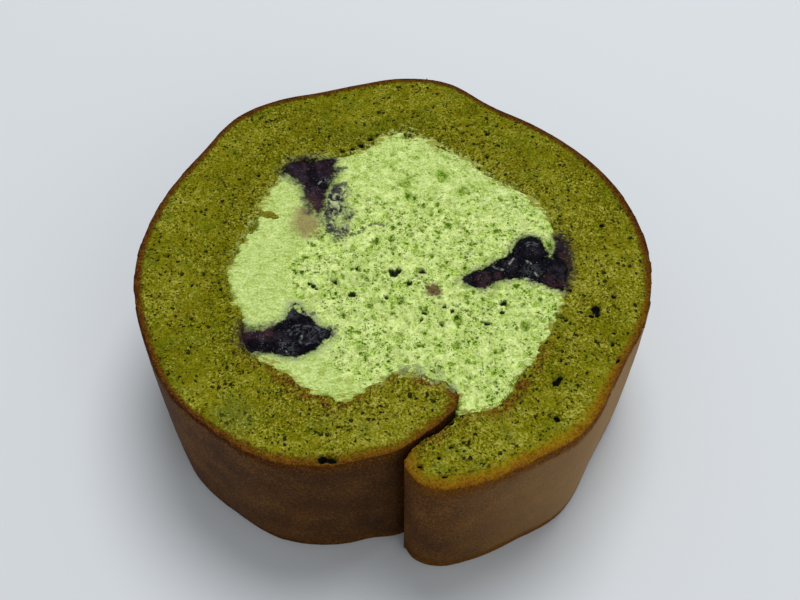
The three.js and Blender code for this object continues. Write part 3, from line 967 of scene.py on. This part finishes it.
fruitSettings = {
    "around": 240,
    "rings": 48,
    "sideRows": 24,
    "below": 0.25,
    "grow": 0.1,              # how far a fruit reaches into the cream's pocket
    "ragged": 0.35,           # how far its outline wanders in and out
    "joined": 1.3,            # how far in its surface comes up to the cream's
    "short": 0.3,             # how far short of the filling's rim it ends
    # Ranges of x and y over which the skins have run: at the back, the left and the right
    "softened": [((-6, -9), (0, 8)), ((-19.5, -24), (-8, -12)), ((29.8, 31.5), (1.5, 3.5))],
    # Depth below the cut, and what the domes, the skin's grain and the creases take or add
    "sunk": 0.45,
    "dome": 0.35,
    "skin": 0.14,
    "crease": 0.16,
    "fruits": {
        "fruit_left": {
            "middle": (-19, -16.6),
            "outline": [(-32, -12), (-26.4, -14.6), (-22.8, -15.1), (-20, -13.3), (-18, -9.6),
                (-15.8, -11.4), (-13.3, -14.6), (-10.8, -15.6), (-12.6, -18.8), (-17.2, -21.6),
                (-23.5, -20.6), (-28, -23)],
            "domes": [(-15.3, -17.2, 2.3), (-18.1, -12.1, 1.9), (-19.9, -17.6, 2.6), (-12.4, -16.4, 1.7),
                (-23.6, -17.6, 2.4)],
            "brown": [(-26.6, -15.4, 2.4), (-22.8, -16.2, 2.2), (-25.2, -17.2, 1.6)],
            "core": [(-24.8, -19.4, 2.2), (-22, -19.4, 1.8)],
            "creamy": [(-17.4, -10.6, 0.9), (-17, -11.6, 0.6), (-11.9, -18.2, 1)],
            # Wisps (x, y, radius), arcs of painted sheen (x, y, radius, start, sweep in degrees), pale
            # lines
            "wispy": [(-13.8, -15.8, 2.6), (-18.8, -12.2, 1.8), (-18.8, -19.8, 2.2)],
            "sheen": [(-15.5, -17.4, 2.7, 15, 165), (-15.4, -17.3, 1.5, 190, 130),
                (-15.5, -17.4, 2.1, 60, 120), (-15.5, -17.2, 3.3, 100, 80)],
            "lines": [[(-20.9, -13.5), (-19.7, -11.9), (-19.1, -10.1)],
                [(-17, -11), (-16.5, -11.9), (-15.7, -12.4)], [(-19.5, -19.6), (-18.5, -20.8)],
                [(-16.4, -16.3), (-16.3, -17.6)], [(-15.4, -12.1), (-14.6, -13), (-13.9, -13.7)]],
        },
        "fruit_right": {
            "middle": (24, -0.8),
            "outline": [(12.4, -4), (17.6, -0.7), (21.4, 1.9), (24, 5.9), (27.4, 6), (29.6, 1.7),
                (30.3, 3.6), (30.8, 6.2), (33, 7.8), (38, 6), (38, -9), (31, -7), (25.6, -4.4),
                (20.4, -4.2), (16.2, -6.2)],
            "domes": [(26, 2.7, 2.5), (30.6, -2.6, 2.6), (32, 2.8, 1.8), (21.6, -0.9, 2), (17.1, -3.7, 1.9),
                (13.8, -3.9, 1.2)],
            "brown": [(16.6, -4.4, 2.4), (19, -3.6, 1.6), (29.2, -5, 2.4), (31.6, -5.4, 1.8),
                (31.6, 1.6, 1.6)],
            "core": [],
            "creamy": [(24.4, -4.3, 0.9), (29.3, 1.3, 0.8)],
            "wispy": [(25.6, -1.8, 2.4)],
            "sheen": [(26, 3.3, 0.8, 0, 190), (26, 3, 1.5, 20, 130)],
            "lines": [[(18.5, -1.1), (19.6, -1.6), (20.3, -2.1)], [(21.5, -0.9), (22.5, 0.8)],
                [(24.9, 0.1), (25.6, -0.5)], [(26.2, -2.5), (26.7, -3.5)],
                [(23.7, -3.6), (25.2, -4), (26.9, -5)]],
        },
        "fruit_back": {
            "middle": (-15.2, 20.4),
            "outline": [(-25, 25), (-19, 31), (-12.6, 29.5), (-11.6, 25.2), (-11.5, 22), (-11.9, 19.2),
                (-12.9, 16.2), (-13, 12.6), (-14.6, 11.2), (-16.6, 14), (-17.8, 17.8), (-20.2, 20.8),
                (-22.4, 22.2)],
            "domes": [(-17.3, 21.4, 2.6), (-15.4, 17, 2.2), (-14.8, 13.8, 1.8), (-20, 23.4, 1.8)],
            "brown": [(-15.4, 15, 3), (-14.8, 12.4, 2.4)],
            "core": [(-16.4, 22.2, 1.6), (-15.7, 20.3, 1.6), (-14.2, 19, 1.4), (-12.9, 18.3, 1)],
            "creamy": [],
            "wispy": [(-13.4, 20.4, 1.6)],
            "sheen": [],
            "lines": [[(-14.8, 19.5), (-14.3, 20.2)], [(-13.4, 20.6), (-12.6, 21)]],
        },
    },
}


def fruitRadius(name, angles, inside=True):
    # A fruit's reach from its middle: out to its own outline, made ragged by noise, or, for
    # the fruit itself, to the rim of the filling where that is nearer.
    fruit = fruitSettings["fruits"][name]
    middle = np.array(fruit["middle"])
    own = curveThrough(fruit["outline"], turns(400, 1), closed=True)
    reach = reachTo(middle, angles, own + rollMiddle)
    flat = np.column_stack([reach[:, None] * rays(angles), 0 * angles])
    reach = reach + fruitSettings["ragged"] * grain(flat, 0.9, 111)
    if not inside:
        return reach
    bearing = turns(720, 360)
    filling = polarPlan(bearing, fillingRadius(bearing) - fruitSettings["short"])
    return np.minimum(reach, reachTo(middle, angles, filling + rollMiddle))


def fruitColumn(name):
    # A plain column on the fruit's outline, taller than the cake, that cuts its pocket.
    s = fruitSettings
    angles = turns(s["around"])
    radius = fruitRadius(name, angles, inside=False)
    flat = np.array(s["fruits"][name]["middle"]) + radius[:, None] * rays(angles)
    count = len(angles)
    ends = [np.column_stack([flat, np.full(count, height)]) for height in (-2, thickness + 2)]
    faces = gridFaces(2, count).tolist() + [list(range(count))[::-1], list(range(count, 2 * count))]
    mesh = bpy.data.meshes.new("pocket_" + name)
    mesh.from_pydata((np.vstack(ends) * mm).tolist(), [], faces)
    return addObject("pocket_" + name, mesh)


def arcs(points, rings, width):
    # Arcs of circles: 1 - ((distance - radius) / width)^2 along each, faded at its ends.
    value = np.zeros(len(points))
    flat = inPlan(points)
    for x, y, radius, start, sweep in rings:
        across, up = flat[:, 0] - x, flat[:, 1] - y
        turn = (np.degrees(np.arctan2(up, across)) - start) % 360
        ends = smooth(0, 20, turn) * smooth(sweep, sweep - 20, turn)
        away = (np.hypot(across, up) * (1 + 0.15 * grain(points, 1.2, 97)) - radius) / width
        value = np.maximum(value, (1 - away ** 2) * ends)
    return value


def makeFruit(name, finish):
    # Rings out over the upper face, rows down the side and rings back in below. The upper face
    # swells at each berry and creases between them.
    s = fruitSettings
    fruit = s["fruits"][name]
    top = thickness - s["below"]
    angles = turns(s["around"])
    reach = fruitRadius(name, angles) + s["grow"]
    out = np.linspace(0, 1, s["rings"] + 1)[1:]
    down = np.linspace(top, 0, s["sideRows"] + 2)[1:-1]
    scale = np.concatenate([out, 1 + 0 * down, out[::-1]])
    height = np.concatenate([top + 0 * out, down, 0 * out])
    flat = np.array(fruit["middle"]) + (scale[:, None] * reach)[..., None] * rays(angles)
    grid = np.dstack([flat, height[:, None] + 0 * angles]).reshape(-1, 3)
    points = np.vstack([grid, [[*fruit["middle"], top], [*fruit["middle"], 0]]])
    swollen = spots(points, fruit["domes"], 6, 0.15)
    skin = grain(points, 1, 91, 3)
    wrinkle = 1 - np.abs(grain(points, 1.6, 95))
    sink = (s["sunk"] - s["dome"] * np.sqrt(swollen) + s["skin"] * skin + s["crease"] * wrinkle ** 5
        + edgeFall(points))
    inwards = inFruit(points)
    atRim = creamDepth(points)[0] + creamSettings["below"] - s["below"]
    sink = sink + (atRim - sink) * smooth(s["joined"], 0.2, inwards)
    upper = smooth(thickness - 6, top, points[:, 2])
    lower = smooth(5, 0, points[:, 2])
    points[:, 2] += (lower - upper) * np.maximum(sink, 0.02)
    ring = np.arange(len(angles))
    faces = [gridFaces(len(height), len(angles)), fanFaces(ring[::-1], len(points) - 2),
        fanFaces(ring + (len(height) - 1) * len(angles), len(points) - 1)]
    marks = {
        "brown": spots(points, fruit["brown"], 8, 0.4), "core": spots(points, fruit["core"], 10),
        "creamy": spots(points, fruit["creamy"], 9), "wispy": spots(points, fruit["wispy"], 12),
        "sheen": arcs(points, fruit["sheen"], 0.28), "lines": streaks(points, fruit["lines"], 0.25),
        "bulge": swollen, "inFruit": inwards, "soft": softness(points),
    }
    makePiece(name + "_berries", points, faces, finish, [name], marks)


def fruitFinish():
    # Dark skin with browner flesh, painted highlights, pale threads and a blurred edge.
    f = Finish("dark_fruit", {"Specular IOR Level": 0.04})
    patches = f.noise(1.1, 3, 0.6)
    fine = f.noise(0.35, 3, 0.6)
    soft = f.mark("soft")
    f.colour = f.flushed(soft)
    # Painted highlight: the berries' domes are lightened, as if lit.
    f.coat(f.mark("bulge").step(0.2, 0.9) * patches.step(0.35, 0.65) * 0.36, (62, 56, 66))
    brown = (f.mark("brown") * 1.8 - 0.6 + (patches - 0.5) * 5).step(0, 1.3)
    f.coat(brown * 0.65, (62, 38, 42))
    core = (f.mark("core") * 2 - 0.5 + (patches - 0.5) * 3).step(0, 0.9)
    f.coat(core * 0.9, (4, 3, 8))

    # Wisps, partly pale skin and partly painted sheen; arcs of painted sheen; lines of pale skin;
    # and specks of painted highlight
    wisps = abs(f.noise(2.2, 3, 0.6, warp=1.6) - 0.5).step(0.06, 0) * f.mark("wispy").step(0, 0.7)
    sheen = f.mark("sheen").step(0, 0.9) * f.noise(0.9).step(0.38, 0.56)
    # Painted sheen: the arcs, and in part the wisps, lighten the skin as highlights.
    f.coat(wisps * 0.26 | sheen * 0.45, (104, 110, 112))
    lines = f.mark("lines").step(0, 0.8) * f.noise(0.7).step(0.4, 0.54)
    f.coat(lines * 0.6, (156, 162, 150))
    # Painted highlights: tiny pale specks of wet shine.
    f.coat(f.noise(0.26, 1).step(0.7, 0.76) * 0.5, (170, 170, 184))

    # The blurred edge towards the cream
    whipped = f.ramp(fine, [(0.3, 140, 168, 76), (0.6, 190, 212, 128)])
    creamy = (f.mark("creamy") * 2 - 0.9 + (patches - 0.5) * 3.4).step(0, 0.9)
    f.coat(creamy * 0.85, whipped)
    f.colour = f.mix(f.edged(f.mark("inFruit"), soft), whipped, f.colour)
    relief = fine * 0.16 + patches * 0.3
    return f.done(0.24 + fine * 0.3, relief)


# Crumbs

crumbSettings = {
    "rings": 14,
    "around": 20,
    # Placed crumbs: x, y, height of the middle, radii along x, y and up, and 1 for a brown one
    "loose": [(-24.2, 11, 32.45, 1.3, 0.95, 0.4, 0), (-22.8, 10.5, 32.4, 0.95, 0.6, 0.35, 0),
        (-25.3, 11.5, 32.4, 0.8, 0.6, 0.4, 0), (6.9, 47.9, 32.4, 0.2, 0.5, 0.5, 1)],
    # How many there are, the share of the sheet at which they start and the span that they
    # take, and their least radius and what a draw adds to it
    "scattered": 34,
    "scatteredOver": (0.04, 0.94),
    "scatteredSize": (0.16, 0.2),
    "flakes": 40,             # along the crust's upper edge
    "flakesOver": (0.1, 0.88),
    "flakeSize": (0.12, 0.24),
    "flakesIn": 0.4,          # how far in from the crust they lie
    "room": 0.1,              # left free at the sides of the plain solid's box
    "roomAbove": 0.02,
    "seed": 12,
}


def crumbShape(middle, radii, seed):
    # A small lump: a sphere by rings and sides, scaled, with noise in its radius.
    s = crumbSettings
    slope = np.pi * (np.arange(s["rings"]) + 0.5) / s["rings"]
    turn = turns(s["around"])
    unit = np.stack([np.sin(slope)[:, None] * np.cos(turn), np.sin(slope)[:, None] * np.sin(turn),
        np.cos(slope)[:, None] + 0 * turn], -1).reshape(-1, 3)
    unit = np.vstack([unit, [[0, 0, 1], [0, 0, -1]]])
    lumpy = 1 + 0.35 * grain(unit + seed * 3.7, 0.8, 101)
    return np.array(middle) + unit * lumpy[:, None] * np.array(radii)


def makeCrumbs(finish):
    # Crumbs at their placed spots, seeded ones on the cut along the crust and the cream, and
    # flakes on the crust's upper edge, all kept inside the plain solid's box.
    s = crumbSettings
    draws = np.random.default_rng(s["seed"]).random((s["scattered"], 4))
    start, span = s["scatteredOver"]
    rows = curveThrough(sheetRows, start + span * draws[:, 0])
    share = np.where(draws[:, 1] < 0.55, 0.9 + 0.06 * draws[:, 2], 0.02 + 0.9 * draws[:, 2])
    flat = polarPlan(rows[:, 0], rows[:, 1] + share * (rows[:, 2] - rows[:, 1])) + rollMiddle
    least, more = s["scatteredSize"]
    size = least + more * draws[:, 3] ** 2
    shapes = [crumbShape(crumb[:3], crumb[3:6], i) for i, crumb in enumerate(s["loose"])]
    for i, ((x, y), r) in enumerate(zip(flat, size)):
        shapes.append(crumbShape((x, y, thickness - 0.5), (r, r * 0.8, r * 0.8), i + 10))
    draws = np.random.default_rng(s["seed"] + 1).random((s["flakes"], 3))
    start, span = s["flakesOver"]
    rows = curveThrough(sheetRows, start + span * draws[:, 0])
    flat = polarPlan(rows[:, 0], rows[:, 2] - s["flakesIn"]) + rollMiddle
    least, more = s["flakeSize"]
    size = least + more * draws[:, 1] ** 3
    for i, ((x, y), r, z) in enumerate(zip(flat, size, draws[:, 2])):
        shapes.append(crumbShape((x, y, thickness - 0.55 - 0.5 * z), (r, r, r * 0.6), i + 60))
    brown = [crumb[6] for crumb in s["loose"]] + [0.5] * s["scattered"] + [1] * s["flakes"]
    rings, around = s["rings"], s["around"]
    total = rings * around + 2
    ring = np.arange(around)
    faces = [gridFaces(rings, around)[:, ::-1], fanFaces(ring, total - 2),
        fanFaces(ring[::-1] + (rings - 1) * around, total - 1)]
    faces = [np.concatenate([f + i * total for i in range(len(shapes))]) for f in faces]
    lowest = np.array(cadLow) / mm + s["room"]
    highest = np.array(cadHigh) / mm - [s["room"], s["room"], s["roomAbove"]]
    points = np.clip(np.vstack(shapes), lowest, highest)
    makePiece("loose_crumbs", points, faces, finish, [], {"brown": np.repeat(brown, total)})


def crumbFinish():
    # Olive crumb, or brown where the mark says.
    f = Finish("loose_crumb", {"Specular IOR Level": 0.1})
    fine = f.noise(0.3, 2, 0.7)
    olive = f.ramp(fine, [(0.3, 76, 76, 2), (0.5, 116, 112, 14), (0.7, 160, 154, 60)])
    brown = f.ramp(fine, [(0.3, 62, 36, 20), (0.7, 136, 98, 66)])
    f.colour = f.mix(f.mark("brown"), olive, brown)
    return f.done(0.85 + fine * 0.1, fine * 0.2)


makeSponge(spongeFinish())
makeCream(creamFinish())
darkFruit = fruitFinish()
for fruitName in fruitSettings["fruits"]:
    makeFruit(fruitName, darkFruit)
makeCrumbs(crumbFinish())


# Floor, light and camera

stageSettings = {
    "floorHalf": 3,
    "floor": {"Base Color": (0.667, 0.702, 0.731, 1), "Roughness": 0.7},
    "world": {"Color": (0.96, 0.98, 1, 1), "Strength": 0.42},
    # Area lights: name, place, size, power
    "lights": [("above", (0.12, 0.34, 1.00), 0.60, 6.8), ("front", (0.55, -0.75, 0.70), 0.70, 1.4)],
    "aim": (0, 0, 0.02),      # of the lights
    "clipStart": 0.01,
    "cameraPlace": (0.00126, -0.14264, 0.2126),
    "cameraTilt": 36.5,       # degrees up from looking straight down
    "lens": 55.35,
    "sensor": 36,
}


def makeStage():
    # A square floor, a plain world, area lights that face the cake, and the camera.
    s = stageSettings
    half = s["floorHalf"]
    mesh = bpy.data.meshes.new("floor")
    corners = [(-half, -half, 0), (half, -half, 0), (half, half, 0), (-half, half, 0)]
    mesh.from_pydata(corners, [], [(0, 1, 2, 3)])
    mesh.materials.append(Finish("pale_floor", s["floor"]).material)
    addObject("floor", mesh)
    scene = bpy.context.scene
    scene.world = bpy.data.worlds.new("studio")
    scene.world.use_nodes = True
    for key, value in s["world"].items():
        scene.world.node_tree.nodes["Background"].inputs[key].default_value = value
    for name, place, size, power in s["lights"]:
        data = bpy.data.lights.new(name, "AREA")
        data.shape, data.size, data.energy = "DISK", size, power
        light = addObject(name, data)
        light.location = place
        aim = np.array(s["aim"]) - place
        light.rotation_euler = (math.atan2(math.hypot(*aim[:2]), -aim[2]), 0,
            math.atan2(aim[1], aim[0]) - math.pi / 2)
    camera = addObject("camera", bpy.data.cameras.new("camera"))
    camera.location = s["cameraPlace"]
    camera.rotation_euler = (math.radians(s["cameraTilt"]), 0, 0)
    camera.data.lens, camera.data.sensor_width = s["lens"], s["sensor"]
    camera.data.clip_start = s["clipStart"]
    scene.camera = camera
    scene.view_settings.view_transform = "Standard"
    print("stage set")


makeStage()
